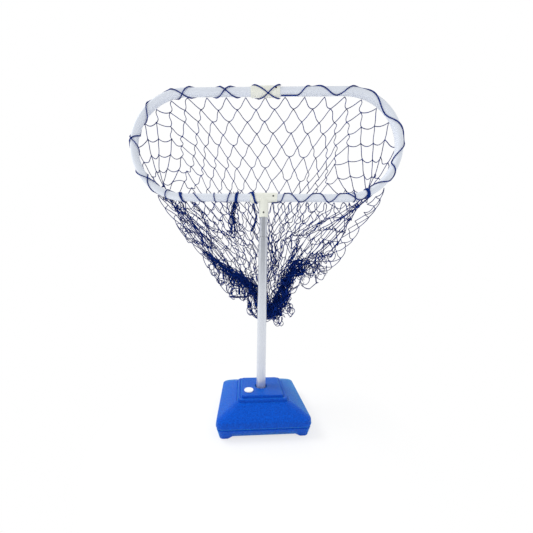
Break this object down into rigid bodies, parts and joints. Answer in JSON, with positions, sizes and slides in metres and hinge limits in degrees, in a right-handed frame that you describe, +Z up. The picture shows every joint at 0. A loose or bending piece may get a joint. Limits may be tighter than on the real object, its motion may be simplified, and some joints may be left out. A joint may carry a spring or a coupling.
{
  "type": "free-standing catch net",
  "caption": "Free-standing catch net: fillable stepped base, telescopic post and an upright oval tube hoop with a laced, knotted net bag behind it.",
  "frame": {"origin": "centre of the base on the floor, under the post's axis", "axes": "+Z up, +X along the hoop's width, -Y out of the hoop's open front"},
  "size_m": [1.1596, 0.368, 1.3696],
  "materials": {
    "base_plastic": "blow-moulded, fine pebble texture",
    "plug_plastic": "smooth moulded",
    "dark_plastic": "moulded",
    "fitting_plastic": "smooth moulded, ivory",
    "hoop_paint": "gloss white paint",
    "post_metal": "satin anodised",
    "screw_steel": "zinc plated",
    "net_cord": "twisted navy cord, knotted",
    "lace_cord": "twisted navy cord"
  },
  "bodies": {
    "base": {"base_tank": "base_plastic"},
    "plug": {"fill_plug": "plug_plastic"},
    "post": {"lower_post": "post_metal", "post_foot_plug": "dark_plastic", "post_bush": "dark_plastic", "lock_boss": "post_metal"},
    "lock": {"lock_screw": "screw_steel", "lock_knob": "dark_plastic"},
    "head": {"upper_post": "post_metal", "post_glide": "dark_plastic", "tee_fitting": "fitting_plastic", "top_coupling": "fitting_plastic", "hoop_left": "hoop_paint", "hoop_right": "hoop_paint", "fitting_screws": "screw_steel", "lacing_left": "lace_cord", "lacing_right": "lace_cord", "net_back": "net_cord", "net_right": "net_cord", "net_front": "net_cord", "net_left": "net_cord", "net_gather": "net_cord"}
  },
  "joints": [
    {"name": "post_swivel", "type": "hinge", "parent": "base", "child": "post", "pos_m": [0, 0, 0.108], "axis": [0, 0, 1], "continuous": true},
    {"name": "height_slide", "type": "slide", "parent": "post", "child": "head", "axis": [0, 0, 1], "range_m": [0, 0.4]},
    {"name": "lock_turn", "type": "hinge", "parent": "post", "child": "lock", "pos_m": [0, 0.019, 0.688], "axis": [0, 1, 0], "range_deg": [0, 540]},
    {"name": "plug_pull", "type": "slide", "parent": "base", "child": "plug", "axis": [0, 0, 1], "range_m": [0, 0.03]}
  ]
}
